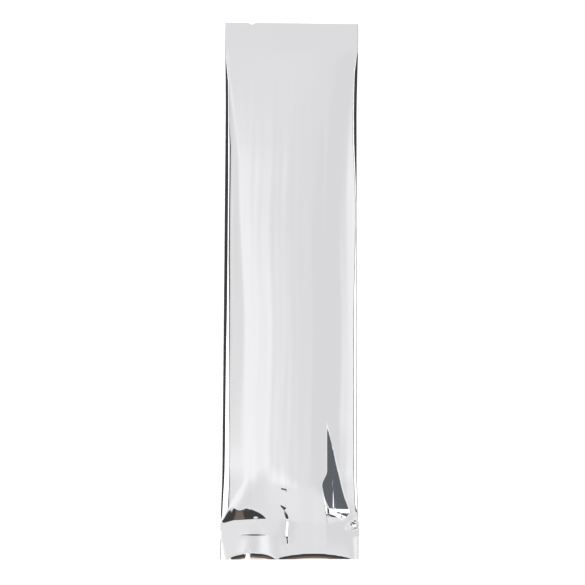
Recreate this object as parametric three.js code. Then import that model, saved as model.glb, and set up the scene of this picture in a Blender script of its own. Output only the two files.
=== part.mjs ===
// A filled single-serve stick pack: one tube of metallized film, closed along its back by a fin seal
// that is folded flat, and closed across both ends by heat seals. It lies on its back seal with the
// front up. The bag is one sealed piece, so it is one closed solid.
//
// Frame: millimetres, +Z up, +Y towards the end with the shallow tear notch, +X across the pack.
// The origin is under the middle of the pack, on the surface that the back seal rests on.
//
// The front and the back are two height fields on one grid of columns (across) and rows (along).
// They share the outline, a film's thickness apart, and narrow walls join them there.
import * as THREE from "three";

// Driving dimensions
const PACK_LENGTH = 150; // cut edge to cut edge
const FLAT_WIDTH = 37.5; // of the empty tube, as it shows in the two end seals
const BODY_DRAW_IN = { left: 0.29, right: 0.5 }; // where the filling rounds the tube
const SEAL_THICKNESS = 0.3; // two layers of film, as sealed
const RIM_HEIGHT = 2.3; // of the folded side edges above the table
const UNDERSIDE_HEIGHT = 0.3; // of the back film, which lies on the fin
const TOP_SEAL = 7.75; // length of the seal at +Y
const BOTTOM_SEAL = 6.8; // length of the seal at -Y, up to its pressed line
const BOTTOM_FLAT = 10.1; // end of the flattened band above that seal
const TOP_DROOP = 0.6; // how far the end at +Y sinks
const DROOP_LENGTH = 20;
const BODY_ROLL = 0.027; // the fin lifts the right side of the body by this slope

// The cut edges run a little askew, and each has a tear notch
const TOP_SLANT = 0.28;
const BOTTOM_SLANT = 0.33;
const NOTCH_X = -11.3;
const TOP_NOTCH = { halfWidth: 1.05, depth: 0.62 };
const BOTTOM_NOTCH = { halfWidth: 0.66, depth: 1.8 };

// The fin seal on the back, folded towards +X
const FIN_FOLD_X = -0.85;
const FIN_EDGE_X = 7.1;
const FIN_STEP = 0.12; // width over which its edge drops to the film

// The front rises from its folded side edges by a steep lip, a wall and a shoulder, and then by a
// face that levels off. The powder has settled, so the body is fuller towards the end at -Y.
const LIP_SLOPE = 0.82;
const WALL_SLOPE = 0.61;
const SHOULDER_SLOPE = 0.375;
const LEFT_FACE = { slope: 0.228, reach: 0.9, wider: 5.3, soft: 0.4, crown: 0.9, from: 0, to: 1 };
const RIGHT_FACE = { slope: 0.34, reach: 3, wider: 0, soft: 2.2, crown: 1.1, from: -25, to: 50 };
const CROWN = 1.3; // rise of the face towards its highest line
const CROWN_X = 2;
const FOLD_SOFTNESS = 0.12; // rounding of the edge folds
const SEAL_BLEND = 0.02; // rounding where the front comes down to the sealed film

// The crushed end above the bottom seal: a steep hollow on the left and a gentle ramp beside it
const POCKET = { slope: 0.385, x: -5.7, rise: 1.5, reach: 8.5, side: 0.5 };
const POCKET_BASE = { low: -0.2, step: 0.75, from: -18.5, to: -14.5, slant: 0.05 };
const RAMP = { leftX: -12, leftSlope: 0.172, rightX: 3, rightSlope: 0.28 };
const APRON = { x: 9.2, early: 0.5, width: 2.2 }; // the ramp starts lower down beside the pleat
const APRON_DROP = { near: 0.32, far: 0.95, from: 13, to: 15.5 }; // and is flatter past it

// A pleat on the right. Its facet falls from a crease to a fold, past which the pinched side of the
// body goes on to the side edge, and a foot ends it above the bottom seal.
const PLEAT = { x: 9.95, bottom: 10.9, top: 37.5, reach: 7.7 };
const FACET = { slope: 0.386, bendX: 13, bendDrop: 1.18, stepDrop: 0.3 };
const PLEAT_STEP = { x: 1.25, along: 24, length: 4, slant: 0.15 };
const FOOT = { top: 13.9, slope: 0.2, steeper: 0.4, fade: 1.2 };
const BASE = { a: 11.5, rise: 1, riseReach: 0.6, slant: 0.25, slantX: 14.5 }; // where the foot ends
const LAP_SLOPE = 0.88;
const CREASE_LAP_SLOPE = 0.68;
const SAG = { depth: 1.5, centre: 14, above: 15, below: 7 }; // of the side edge beside the pleat

// Where the fin's fold presses through the front, above the bottom seal
const SPINE = { x: -0.7, height: 0.34, width: 0.5, from: 4.1, full: 6.5, fade: 10.5, to: 13.4 };

// The cut edge at the bottom curls down in two waves
const CURL = { width: 2.1, slope: 0.345, bend: 0.028, nodes: [-16.5, -3.7, 17.3] };
const CORNER_FLAP = { width: 1.5, slope: 0.62 };

const HALF_LENGTH = PACK_LENGTH / 2;
const HALF_WIDTH = FLAT_WIDTH / 2;

// ---- Small functions that the surfaces are put together from ----

const clamp01 = (t) => Math.min(1, Math.max(0, t));
const ramp = (t, from, to) => clamp01((t - from) / (to - from));
const smoothRamp = (t, from, to) => {
  const s = ramp(t, from, to);
  return s * s * (3 - 2 * s);
};
const softPlus = (t, soft) => soft * Math.log(1 + Math.exp(Math.min(40, t / soft)));
const softMin = (p, q, soft) => {
  const h = Math.max(soft - Math.abs(p - q), 0) / soft;
  return Math.min(p, q) - (h * h * soft) / 4;
};
const softMax = (p, q, soft) => -softMin(-p, -q, soft);
const bump = (t, width) => Math.exp(-((t / width) ** 2));
const mix = (p, q, t) => p + (q - p) * t;

// Climbs at 45 degrees from 0 at d = 0, and levels off past d = width
const chamfer = (d, width, soft) => softPlus(width, soft) - softPlus(width - d, soft);

// ---- Outline ----

const fromBottom = (y) => y + HALF_LENGTH;
const fromTop = (y) => HALF_LENGTH - y;

// How far the tube reaches to the left, where side is negative, or to the right
function halfWidth(y, side) {
  const filled = smoothRamp(fromTop(y), 2, 28) * smoothRamp(fromBottom(y), 9, 25);
  return HALF_WIDTH - (side < 0 ? BODY_DRAW_IN.left : BODY_DRAW_IN.right) * filled;
}

const notchDepth = (x, notch) =>
  notch.depth * Math.max(0, 1 - Math.abs(x - NOTCH_X) / notch.halfWidth);
const topCut = (x) =>
  HALF_LENGTH - TOP_SLANT * (x / FLAT_WIDTH + 0.5) - notchDepth(x, TOP_NOTCH);
const bottomCut = (x) =>
  -HALF_LENGTH + BOTTOM_SLANT * (x / FLAT_WIDTH + 0.5) + notchDepth(x, BOTTOM_NOTCH);

// ---- The middle of the film at the rim and in the end seals ----

// How round the body is: nothing at the top seal, over half some way down, and full lower down
const fullness = (y) =>
  0.6 * smoothRamp(fromTop(y), 11, 44) + 0.4 * smoothRamp(fromTop(y), 40, 90);

function edgeSag(x, y) {
  const past = fromBottom(y) - SAG.centre;
  const across = ramp(x, PLEAT.x, HALF_WIDTH);
  return SAG.depth * across * bump(past, past < 0 ? SAG.below : SAG.above);
}

const rimTilt = (x, y) =>
  BODY_ROLL * fullness(y) * smoothRamp(fromBottom(y), 8, 25) * x - edgeSag(x, y);

function curlWidth(x) {
  const [first, second, third] = CURL.nodes;
  const along = x < second ? ramp(x, first, second) : ramp(x, second, third);
  return CURL.width * Math.sqrt(Math.max(0, Math.sin(Math.PI * along)));
}

function rimHeight(x, y) {
  const a = fromBottom(y);
  const droop = TOP_DROOP * (1 - ramp(fromTop(y), 0, DROOP_LENGTH)) ** 2;
  const curled = softPlus(curlWidth(x) - a, 0.05);
  const flapEdge = -HALF_WIDTH + CORNER_FLAP.width * (1 - ramp(a, 0, BOTTOM_SEAL));
  const flap = CORNER_FLAP.slope * softPlus(flapEdge - x, 0.06) * (1 - ramp(a, 5, 8));
  const bent = CURL.slope * curled + CURL.bend * curled ** 3;
  return RIM_HEIGHT + rimTilt(x, y) - droop - bent - flap;
}

// ---- Front ----

// One side's profile, by the distance from that edge, without the crown. The face climbs, together
// with the crown, at its slope until it levels off around its reach.
function sideRise(d, y, widths, face) {
  const b = fromTop(y);
  const climb = face.slope * smoothRamp(b, face.from, face.to) * ramp(b, TOP_SEAL, 12);
  const faceSlope = climb - (2 * CROWN * fullness(y) * face.crown) / HALF_WIDTH;
  const ends = ramp(fromBottom(y), BOTTOM_FLAT, BOTTOM_FLAT + 2);
  const lip = ends * widths.lip;
  const wall = lip + ends * widths.wall;
  const shoulder = wall + ends * widths.shoulder;
  return (
    (SHOULDER_SLOPE - climb) * chamfer(d, shoulder, FOLD_SOFTNESS) +
    (WALL_SLOPE - SHOULDER_SLOPE) * chamfer(d, wall, FOLD_SOFTNESS) +
    (LIP_SLOPE - WALL_SLOPE) * chamfer(d, lip, FOLD_SOFTNESS) +
    faceSlope * chamfer(d, face.reach + face.wider * fullness(y), face.soft)
  );
}

function leftRise(x, y) {
  const b = fromTop(y);
  const upperLip = 0.9 * ramp(b, 7.5, 17) + 0.12 * smoothRamp(b, 20, 50);
  const lip = upperLip - 0.3 * smoothRamp(b, 58, 112) - 0.25 * smoothRamp(b, 118, 139);
  const wall = 0.05 * ramp(b, 29, 36) + 1.25 * smoothRamp(b, 58, 134);
  const upperShoulder = 0.6 * ramp(b, 26, 36) - 0.42 * smoothRamp(b, 70, 110);
  const shoulder = upperShoulder + 0.4 * smoothRamp(b, 122, 137);
  return sideRise(x + halfWidth(y, -1), y, { lip, wall, shoulder }, LEFT_FACE);
}

function rightRise(x, y) {
  const b = fromTop(y);
  const lip = 0.45 * ramp(b, 7, 9) + 0.62 * ramp(b, 9, 15) - 0.8 * smoothRamp(b, 31, 54);
  const wall = 0.6 * smoothRamp(b, 55, 85);
  return sideRise(halfWidth(y, 1) - x, y, { lip, wall, shoulder: 0 }, RIGHT_FACE);
}

function bodyHeight(x, y) {
  const half = halfWidth(y, x);
  const side = smoothRamp(x / half, -0.95, 0.95);
  const reach = x < CROWN_X ? half + CROWN_X : half - CROWN_X;
  const crown = CROWN * fullness(y) * (1 - ((x - CROWN_X) / reach) ** 2);
  return mix(leftRise(x, y), rightRise(x, y), side) + crown;
}

// The crushed end is made of flat facets, as folded film is: the lowest of them shows
function crushedHeight(x, y) {
  const lifted = POCKET_BASE.step * smoothRamp(x, POCKET_BASE.from, POCKET_BASE.to);
  const leftStart = BOTTOM_FLAT + POCKET_BASE.low + lifted + POCKET_BASE.slant * (x + 14);
  const rightStart = BOTTOM_FLAT - APRON.early * bump(x - APRON.x, APRON.width);
  const t = fromBottom(y) - mix(leftStart, rightStart, smoothRamp(x, -3, 4));
  const pocket = POCKET.slope * t + POCKET.side * softPlus(x - POCKET.x, 0.5);
  const tilt = POCKET.rise * (1 - Math.exp(-softPlus(POCKET.x - x, 0.4) / POCKET.reach));
  const slope = mix(RAMP.leftSlope, RAMP.rightSlope, smoothRamp(x, RAMP.leftX, RAMP.rightX));
  const soft = mix(0.5, 0.7, smoothRamp(x, -10, -4));
  return softMin(softMin(bodyHeight(x, y), slope * t + tilt, soft), pocket, 0.1);
}

// Where the pleat's facet meets the pinched side: nearly straight, turning outwards at the bottom
function foldX(a) {
  const down = clamp01((PLEAT.top - a) / (PLEAT.top - PLEAT.bottom));
  return PLEAT.x + PLEAT.reach * (0.8 * down + 0.2 * down ** 7);
}

function frontHeight(x, y) {
  const a = fromBottom(y);
  const main = crushedHeight(x, y);
  const belowStep = Math.max(0, PLEAT_STEP.along - a);
  const stepped = smoothRamp(belowStep, 0, PLEAT_STEP.length);
  const slanted = PLEAT_STEP.slant * Math.max(0, belowStep - PLEAT_STEP.length);
  const creaseX = PLEAT.x - PLEAT_STEP.x * stepped + slanted;
  const past = x - creaseX;
  if (past <= 0 || a >= PLEAT.top) return softMax(main, 0, SEAL_BLEND);

  const creaseZ = bodyHeight(creaseX, y) + rimTilt(creaseX, y);
  const bendDrop = FACET.bendDrop + FACET.stepDrop * stepped;
  const bendZ = bodyHeight(PLEAT.x, y) + rimTilt(PLEAT.x, y) - bendDrop;
  const facet = (at) => {
    const fallen = mix(creaseZ, bendZ, ramp(at, creaseX, FACET.bendX));
    const beyond = FACET.slope * Math.max(0, at - FACET.bendX);
    const foot = FOOT.slope + FOOT.steeper * Math.exp(-Math.max(0, at - creaseX) / FOOT.fade);
    return fallen - beyond - rimTilt(at, y) - foot * softPlus(FOOT.top - a, 0.05);
  };
  const fold = Math.max(foldX(a), creaseX);
  const shear = Math.max(0, bodyHeight(fold, y) - facet(fold));
  const side = bodyHeight(x, y) - shear * ramp(x, halfWidth(y, 1) - 0.2, fold);
  const rise = BASE.rise * Math.exp(-Math.max(0, x - PLEAT.x) / BASE.riseReach);
  const base = BASE.a + rise - BASE.slant * softPlus(x - BASE.slantX, 0.3);
  const drop = mix(APRON_DROP.near, APRON_DROP.far, smoothRamp(x, APRON_DROP.from, APRON_DROP.to));
  const below = crushedHeight(x, Math.min(y, base - HALF_LENGTH));
  const flatter = below * (1 - drop * smoothRamp(past, 0, 3));
  const apron = mix(flatter, main, smoothRamp(past, 1, 0) * ramp(a - base, 0, 0.5));
  const low = apron * (a > base ? smoothRamp(x, 13, 10.5) : 1);
  const standing = Math.min(x < fold ? facet(x) : side, apron + LAP_SLOPE * (a - base));
  const lapped = main + CREASE_LAP_SLOPE * past;
  return softMax(Math.min(Math.max(low, standing), lapped), 0, SEAL_BLEND);
}

// The lap where the fin's fold presses through: it climbs to the right and dies away past it
function spine(x, y) {
  const a = fromBottom(y);
  const along = ramp(a, SPINE.from, SPINE.full) * ramp(a, SPINE.to, SPINE.fade);
  const climb = ramp(x, SPINE.x - SPINE.width / 2, SPINE.x + SPINE.width / 2);
  return SPINE.height * along * climb * Math.exp(-Math.max(0, x - SPINE.x) / 1.3);
}

// ---- Back ----

// 1 across the folded fin, 0 beside it
const finShape = (x) =>
  ramp(x, FIN_FOLD_X - FIN_STEP, FIN_FOLD_X) * (1 - ramp(x, FIN_EDGE_X, FIN_EDGE_X + FIN_STEP));

// How far the back film hangs below the rim: it turns under near the sides and the end seals
function backDepth(x, y) {
  const turned = (d, reach) => 1 - Math.exp(-Math.max(0, d) / reach);
  const ends =
    turned(fromBottom(y) - BOTTOM_FLAT, 4.5) * turned(fromTop(y) - TOP_SEAL, 6);
  const sides = turned(x + halfWidth(y, -1), 1.5) * turned(halfWidth(y, 1) - x, 1.5);
  return 1.3 * RIM_HEIGHT * sides * ends;
}

const frontZ = (x, y) => rimHeight(x, y) + SEAL_THICKNESS / 2 + frontHeight(x, y) + spine(x, y);

function backZ(x, y) {
  const film = rimHeight(x, y) - SEAL_THICKNESS / 2 - backDepth(x, y);
  return Math.max(UNDERSIDE_HEIGHT, film) - UNDERSIDE_HEIGHT * finShape(x);
}

// ---- Grid ----

// Columns: close together at the side edges, even in between, and one on each named line
function columnPositions() {
  const edgeSteps = Array.from({ length: 7 }, (_, k) => (0.3 * (1.42 ** k - 1)) / 0.42);
  const notchSteps = [-TOP_NOTCH.halfWidth, -BOTTOM_NOTCH.halfWidth, 0];
  const named = [
    ...notchSteps.map((offset) => NOTCH_X + offset),
    ...notchSteps.slice(0, 2).map((offset) => NOTCH_X - offset),
    FIN_FOLD_X - FIN_STEP,
    FIN_FOLD_X,
    SPINE.x + SPINE.width / 2,
    FIN_EDGE_X,
    FIN_EDGE_X + FIN_STEP,
    PLEAT.x - PLEAT_STEP.x,
    PLEAT.x,
    PLEAT.x + 1.1,
  ];
  const edges = edgeSteps.flatMap((d) => [d - HALF_WIDTH, HALF_WIDTH - d]);
  const kept = [...edges, ...named];
  const inner = HALF_WIDTH - edgeSteps.at(-1);
  const even = Array.from({ length: 21 }, (_, k) => inner * ((k + 1) / 11 - 1));
  const clear = even.filter((x) => kept.every((other) => Math.abs(x - other) > 0.5));
  return [...kept, ...clear].sort((p, q) => p - q);
}

// Rows: close together in the curled edge and the crushed end, and wide apart along the body
function rowPositions() {
  const spacing = (a) => {
    if (a < 2.4) return 0.6;
    if (a < 17) return 1.1;
    return Math.min(6, 1.1 + 0.12 * Math.min(a - 17, PACK_LENGTH - a));
  };
  const rows = [0];
  while (rows.at(-1) < PACK_LENGTH) rows.push(rows.at(-1) + spacing(rows.at(-1)));
  const stretch = PACK_LENGTH / rows.at(-1);
  return rows.map((a) => a * stretch);
}

// A row's place at one column: inside the end seals the rows follow the cut edges
function rowY(a, x) {
  const y = a - HALF_LENGTH;
  if (a < BOTTOM_SEAL) {
    const sealTop = BOTTOM_SEAL - HALF_LENGTH;
    return sealTop + (bottomCut(x) - sealTop) * (1 - a / BOTTOM_SEAL);
  }
  if (PACK_LENGTH - a < TOP_SEAL) {
    const sealBottom = HALF_LENGTH - TOP_SEAL;
    return sealBottom + (topCut(x) - sealBottom) * (1 - (PACK_LENGTH - a) / TOP_SEAL);
  }
  return y;
}

function packGeometry() {
  const columns = columnPositions();
  const rows = rowPositions();
  const across = columns.length;
  const surface = (height) =>
    rows.flatMap((a) =>
      columns.flatMap((column) => {
        const y = rowY(a, column);
        const x = (column / HALF_WIDTH) * halfWidth(y, column);
        return [x, y, height(x, y)];
      }),
    );
  const positions = [...surface(frontZ), ...surface(backZ)];
  const front = (row, column) => row * across + column;
  const back = (row, column) => front(row, column) + rows.length * across;
  const faces = [];
  const quad = (p, q, r, s) => faces.push(p, q, r, p, r, s);
  for (let row = 0; row < rows.length - 1; row++) {
    for (let column = 0; column < across - 1; column++) {
      quad(front(row, column), front(row, column + 1), front(row + 1, column + 1), front(row + 1, column));
      quad(back(row, column), back(row + 1, column), back(row + 1, column + 1), back(row, column + 1));
    }
    quad(front(row, 0), front(row + 1, 0), back(row + 1, 0), back(row, 0));
    const last = across - 1;
    quad(front(row, last), back(row, last), back(row + 1, last), front(row + 1, last));
  }
  const end = rows.length - 1;
  for (let column = 0; column < across - 1; column++) {
    quad(front(0, column), back(0, column), back(0, column + 1), front(0, column + 1));
    quad(front(end, column), front(end, column + 1), back(end, column + 1), back(end, column));
  }
  const geometry = new THREE.BufferGeometry();
  geometry.setAttribute("position", new THREE.Float32BufferAttribute(positions, 3));
  geometry.setIndex(faces);
  geometry.computeVertexNormals();
  return geometry;
}

const metallizedFilm = new THREE.MeshStandardMaterial({
  color: new THREE.Color(0.9, 0.9, 0.91),
  metalness: 1,
  roughness: 0.12,
});

const stickPack = new THREE.Mesh(packGeometry(), metallizedFilm);
stickPack.name = "stick_pack";

const pack = new THREE.Group();
pack.add(stickPack);

export default pack;
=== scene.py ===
"""A filled stick pack of plain metallized film, lying on its back seal in a photographer's light tent."""
import math

import bpy
import numpy as np
from mathutils import Matrix, Vector


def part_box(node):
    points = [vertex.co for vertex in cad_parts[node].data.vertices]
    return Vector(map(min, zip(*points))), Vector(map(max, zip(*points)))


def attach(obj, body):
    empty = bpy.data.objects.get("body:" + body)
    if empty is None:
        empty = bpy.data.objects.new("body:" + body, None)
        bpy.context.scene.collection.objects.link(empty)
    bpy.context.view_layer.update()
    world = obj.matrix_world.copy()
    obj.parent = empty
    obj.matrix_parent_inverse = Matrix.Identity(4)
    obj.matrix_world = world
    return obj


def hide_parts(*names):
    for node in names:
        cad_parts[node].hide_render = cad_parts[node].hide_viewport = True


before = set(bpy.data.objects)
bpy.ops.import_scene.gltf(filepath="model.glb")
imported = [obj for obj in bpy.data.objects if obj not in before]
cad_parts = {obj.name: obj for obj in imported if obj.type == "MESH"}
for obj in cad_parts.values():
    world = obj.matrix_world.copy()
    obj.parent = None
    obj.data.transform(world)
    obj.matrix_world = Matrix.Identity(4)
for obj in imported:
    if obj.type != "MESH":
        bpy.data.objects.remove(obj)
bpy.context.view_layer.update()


# ---- Camera ----
# A long lens looks down on the pack from half a metre away, a little from the end with the deep tear
# notch, so the other end is slightly smaller. The pack fills the height of the square frame.
AIM = Vector((0.0005, -0.00191, 0.0025))
CAMERA_DISTANCE = 0.520
CAMERA_TILT = math.radians(8)
CAMERA_ROLL = math.radians(0.252)
LENS_MM = 116.0
SENSOR_MM = 36

camera_data = bpy.data.cameras.new("long_lens")
camera_data.sensor_width = SENSOR_MM
camera_data.lens = LENS_MM
camera_data.clip_start = 0.01
camera_data.clip_end = 20
camera = bpy.data.objects.new("camera", camera_data)
bpy.context.scene.collection.objects.link(camera)
away = Vector((0, -math.sin(CAMERA_TILT), math.cos(CAMERA_TILT)))
camera.matrix_world = (
    Matrix.Translation(AIM + CAMERA_DISTANCE * away)
    @ Matrix.Rotation(CAMERA_TILT, 4, "X")
    @ Matrix.Rotation(CAMERA_ROLL, 4, "Z")
)
bpy.context.scene.camera = camera


# ---- Film tube ----
# The bag is one web of thin plastic film with a vapour-deposited aluminium face. A machine folds it
# into a tube, seals it along the back, fills it, and seals and cuts it across both ends.

# Sizes are in millimetres: x runs across the pack, y along it, and a is the distance from its bottom end
MM = 0.001
node_low, node_high = (np.array(corner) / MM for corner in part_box("stick_pack"))
PACK_LENGTH = node_high[1] - node_low[1]
FLAT_WIDTH = node_high[0] - node_low[0]
HALF_LENGTH = PACK_LENGTH / 2
HALF_WIDTH = FLAT_WIDTH / 2
TOP_SEAL = 7.75
BOTTOM_SEAL = 6.8
BOTTOM_FLAT = 10.1  # end of the flattened band above the bottom seal
SEAL_THICKNESS = 0.3  # two layers of film, as sealed
RIM_HEIGHT = 2.3  # of the folded side edges above the table
UNDERSIDE_HEIGHT = 0.3  # of the back film, which lies on the fin


def from_bottom(y):
    """Distance from the bottom end."""
    return y + HALF_LENGTH


def from_top(y):
    """Distance from the top end."""
    return HALF_LENGTH - y


def ramp(t, start, end):
    """0 up to start, 1 from end on, and straight in between; start may be the larger."""
    return np.clip((t - start) / (end - start), 0, 1)


def smooth_ramp(t, start, end):
    """The same, eased at both ends as 3s^2 - 2s^3."""
    s = ramp(t, start, end)
    return s * s * (3 - 2 * s)


def mix(first, second, share):
    """The first where share is 0, the second where it is 1, and in between a part of each."""
    return first + (second - first) * share


def soft_plus(t, soft):
    """t where t is well above 0 and 0 well below, rounded over about the width soft."""
    return soft * np.logaddexp(0, t / soft)


def soft_min(p, q, soft):
    """The lower of two surfaces, with the crease between them rounded where they are within soft."""
    near = np.maximum(soft - np.abs(p - q), 0) / soft
    return np.minimum(p, q) - near * near * soft / 4


def soft_max(p, q, soft):
    """The higher of two surfaces, rounded in the same way."""
    return -soft_min(-p, -q, soft)


def bell(t, width):
    """exp(-(t/width)^2): 1 at t = 0 and almost 0 past two widths."""
    return np.exp(-((t / width) ** 2))


def chamfer(d, width, soft):
    """Climbs at 45 degrees from d = 0, and levels off past d = width."""
    return soft_plus(width, soft) - soft_plus(width - d, soft)


def down_pack(y, steps):
    """A sum of steps from the top end down. Each step is an amount, the ramp it comes in by, and the
    two distances from the top end that it comes in between."""
    return sum(amount * ease(from_top(y), start, end) for amount, ease, start, end in steps)


# The powder has settled, so the body is fuller towards the bottom end
FILLING = ((0.6, smooth_ramp, 11, 44), (0.4, smooth_ramp, 40, 90))


def fullness(y):
    """How round the body is: nothing at the top seal, half some way down, and full lower down."""
    return down_pack(y, FILLING)


DRAW_IN = (0.29, 0.5)  # of the left and the right side, where the filling rounds the tube
DRAW_IN_TOP = (2, 28)
DRAW_IN_BOTTOM = (9, 25)


def half_width(y, side):
    """How far the tube reaches to the left, where side is negative, or to the right: the flat width at
    both seals, drawn in slightly along the filled body."""
    filled = smooth_ramp(from_top(y), *DRAW_IN_TOP) * smooth_ramp(from_bottom(y), *DRAW_IN_BOTTOM)
    return HALF_WIDTH - np.where(side < 0, *DRAW_IN) * filled


# The cut edges run a little askew, and each has a tear notch
TOP_SLANT = 0.28
BOTTOM_SLANT = 0.33
NOTCH_X = -11.3
TOP_NOTCH = {"half_width": 1.05, "depth": 0.62, "taper": 1.0}
BOTTOM_NOTCH = {"half_width": 0.68, "depth": 1.85, "taper": 0.25}


def notch_depth(x, notch):
    """A notch cut into the edge: straight sides, narrowing to its flat or pointed bottom."""
    inside = np.maximum(0, 1 - np.abs(x - NOTCH_X) / notch["half_width"])
    return notch["depth"] * np.minimum(1, inside / notch["taper"])


def top_cut(x):
    """Where the film ends at +Y: a straight line, slightly askew, less the shallow notch."""
    return HALF_LENGTH - TOP_SLANT * (x / FLAT_WIDTH + 0.5) - notch_depth(x, TOP_NOTCH)


def bottom_cut(x):
    """Where the film ends at -Y, with the deep notch."""
    return -HALF_LENGTH + BOTTOM_SLANT * (x / FLAT_WIDTH + 0.5) + notch_depth(x, BOTTOM_NOTCH)


# The top end sinks. The pack leans on its fin, so the right side of the body lies a little higher, but
# its edge sinks beside the pleat, whose crease is at PLEAT_X.
TOP_DROOP = 0.6
DROOP_LENGTH = 20
BODY_ROLL = 0.027
ROLL_START = (8, 25)
PLEAT_X = 9.95
SAG = {"depth": 1.5, "along": 14, "below": 7, "above": 15}


def edge_sag(x, y):
    """The right side sinks beside the pleat: straight across from the crease to the edge, and a bell
    along the pack, wide above its centre and narrow below."""
    past = from_bottom(y) - SAG["along"]
    width = np.where(past < 0, SAG["below"], SAG["above"])
    return SAG["depth"] * ramp(x, PLEAT_X, HALF_WIDTH) * bell(past, width)


def rim_tilt(x, y):
    """How the side edges lie: turned about the pack's length along the filled body, less the sag."""
    filled = fullness(y) * smooth_ramp(from_bottom(y), *ROLL_START)
    return BODY_ROLL * filled * x - edge_sag(x, y)


# The cut edge at the bottom curls down in two waves, and its left corner is bent down
CURL = {"width": 2.1, "slope": 0.345, "bend": 0.028, "nodes": (-16.5, -3.7, 17.3), "soft": 0.05}
FLAP = {"width": 1.5, "slope": 0.62, "soft": 0.06}
FLAP_END = (8, 5)


def curl_drop(x, y):
    """How far the bottom edge curls down: slope t + bend t^3 by the distance t into the curl, whose
    width is the square root of half a sine wave between two nodes."""
    first, second, third = CURL["nodes"]
    wave = np.where(x < second, ramp(x, first, second), ramp(x, second, third))
    width = CURL["width"] * np.sqrt(np.maximum(0, np.sin(math.pi * wave)))
    t = soft_plus(width - from_bottom(y), CURL["soft"])
    return CURL["slope"] * t + CURL["bend"] * t**3


def flap_drop(x, y):
    """How far the left corner is bent down: at one slope, outwards from an oblique line."""
    a = from_bottom(y)
    line = -HALF_WIDTH + FLAP["width"] * (1 - ramp(a, 0, BOTTOM_SEAL))
    return FLAP["slope"] * soft_plus(line - x, FLAP["soft"]) * ramp(a, *FLAP_END)


def rim_height(x, y):
    """The middle of the film at the rim: tilted, sinking at the top end as a parabola, and bent down at
    the bottom edge's curl and at its left corner."""
    droop = TOP_DROOP * (1 - ramp(from_top(y), 0, DROOP_LENGTH)) ** 2
    return RIM_HEIGHT + rim_tilt(x, y) - droop - curl_drop(x, y) - flap_drop(x, y)


# The front rises from its folded side edges by a steep lip, a wall, a narrow shoulder and a face. A
# face's slope comes in over its start, from the top end down, less its share of the crown's slope, and
# it levels off around its reach, which is wider where the body is fuller.
LIP_SLOPE = 0.82
WALL_SLOPE = 0.61
SHOULDER_SLOPE = 0.375
LEFT_FACE = {"slope": 0.228, "reach": 0.9, "wider": 5.3, "soft": 0.15, "crown": 0.9, "start": (0, 1)}
RIGHT_FACE = {"slope": 0.34, "reach": 3, "wider": 0, "soft": 2.2, "crown": 1.1, "start": (-25, 50)}
FACE_START = 12  # from the top end, where both faces have their slopes
CROWN = 1.3
CROWN_X = 2
SIDES_BLEND = 0.95  # share of the width that the two sides are blended over
SHARP_FOLD = 0.04  # rounding of the edge folds
EDGE_START = 2  # length over which the side edges start above the flattened band

# The widths of lip, wall and shoulder on either side, as steps from the top end down
LEFT_LIP = (
    (0.9, ramp, 7.5, 17),
    (0.12, smooth_ramp, 20, 50),
    (-0.3, smooth_ramp, 58, 112),
    (-0.25, smooth_ramp, 118, 139),
)
LEFT_WALL = ((0.05, ramp, 29, 36), (1.25, smooth_ramp, 58, 134))
LEFT_SHOULDER = ((0.6, ramp, 26, 36), (-0.42, smooth_ramp, 70, 110), (0.4, smooth_ramp, 122, 137))
RIGHT_LIP = ((0.45, ramp, 7, 9), (0.62, ramp, 9, 15), (-0.8, smooth_ramp, 31, 54))
RIGHT_WALL = ((0.6, smooth_ramp, 55, 85),)


def side_rise(d, y, lip, wall, shoulder, face):
    """Height by the distance d from a side edge, without the crown. The face climbs, together with the
    crown, at its slope until it levels off around its reach; shoulder, wall and lip each add what their
    slope lacks, as far as they reach from the edge."""
    reach = face["reach"] + face["wider"] * fullness(y)
    started = smooth_ramp(from_top(y), *face["start"]) * ramp(from_top(y), TOP_SEAL, FACE_START)
    climb = face["slope"] * started
    face_slope = climb - 2 * CROWN / HALF_WIDTH * fullness(y) * face["crown"]
    edge = (SHOULDER_SLOPE - climb) * chamfer(d, lip + wall + shoulder, SHARP_FOLD)
    edge = edge + (WALL_SLOPE - SHOULDER_SLOPE) * chamfer(d, lip + wall, SHARP_FOLD)
    edge = edge + (LIP_SLOPE - WALL_SLOPE) * chamfer(d, lip, SHARP_FOLD)
    return edge + face_slope * chamfer(d, reach, face["soft"])


def above_flat(y):
    """0 in the flattened band above the bottom seal, and 1 a little above it."""
    return ramp(from_bottom(y), BOTTOM_FLAT, BOTTOM_FLAT + EDGE_START)


def lip_width(side, y):
    """The left lip is widest in the upper half, and the right one is wide only near the top."""
    return np.where(side < 0, down_pack(y, LEFT_LIP), down_pack(y, RIGHT_LIP)) * above_flat(y)


def left_rise(x, y):
    """The left side. Its wall widens towards the bottom, and its shoulder narrows to a thin line."""
    wall = down_pack(y, LEFT_WALL) * above_flat(y)
    shoulder = down_pack(y, LEFT_SHOULDER) * above_flat(y)
    return side_rise(x + half_width(y, -1), y, lip_width(-1, y), wall, shoulder, LEFT_FACE)


def right_rise(x, y):
    """The right side, whose wall is there only from the middle down."""
    wall = down_pack(y, RIGHT_WALL) * above_flat(y)
    return side_rise(half_width(y, 1) - x, y, lip_width(1, y), wall, 0, RIGHT_FACE)


def body_height(x, y):
    """The front of the filled tube above its rim: the two sides, blended across the middle, on a crown
    of two parabolas that meet at its highest line and reach down to the side edges."""
    half = half_width(y, x)
    off_crown = (x - CROWN_X) / np.where(x < CROWN_X, half + CROWN_X, half - CROWN_X)
    crown = CROWN * fullness(y) * (1 - off_crown**2)
    to_right = smooth_ramp(x / half, -SIDES_BLEND, SIDES_BLEND)
    return mix(left_rise(x, y), right_rise(x, y), to_right) + crown


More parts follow.
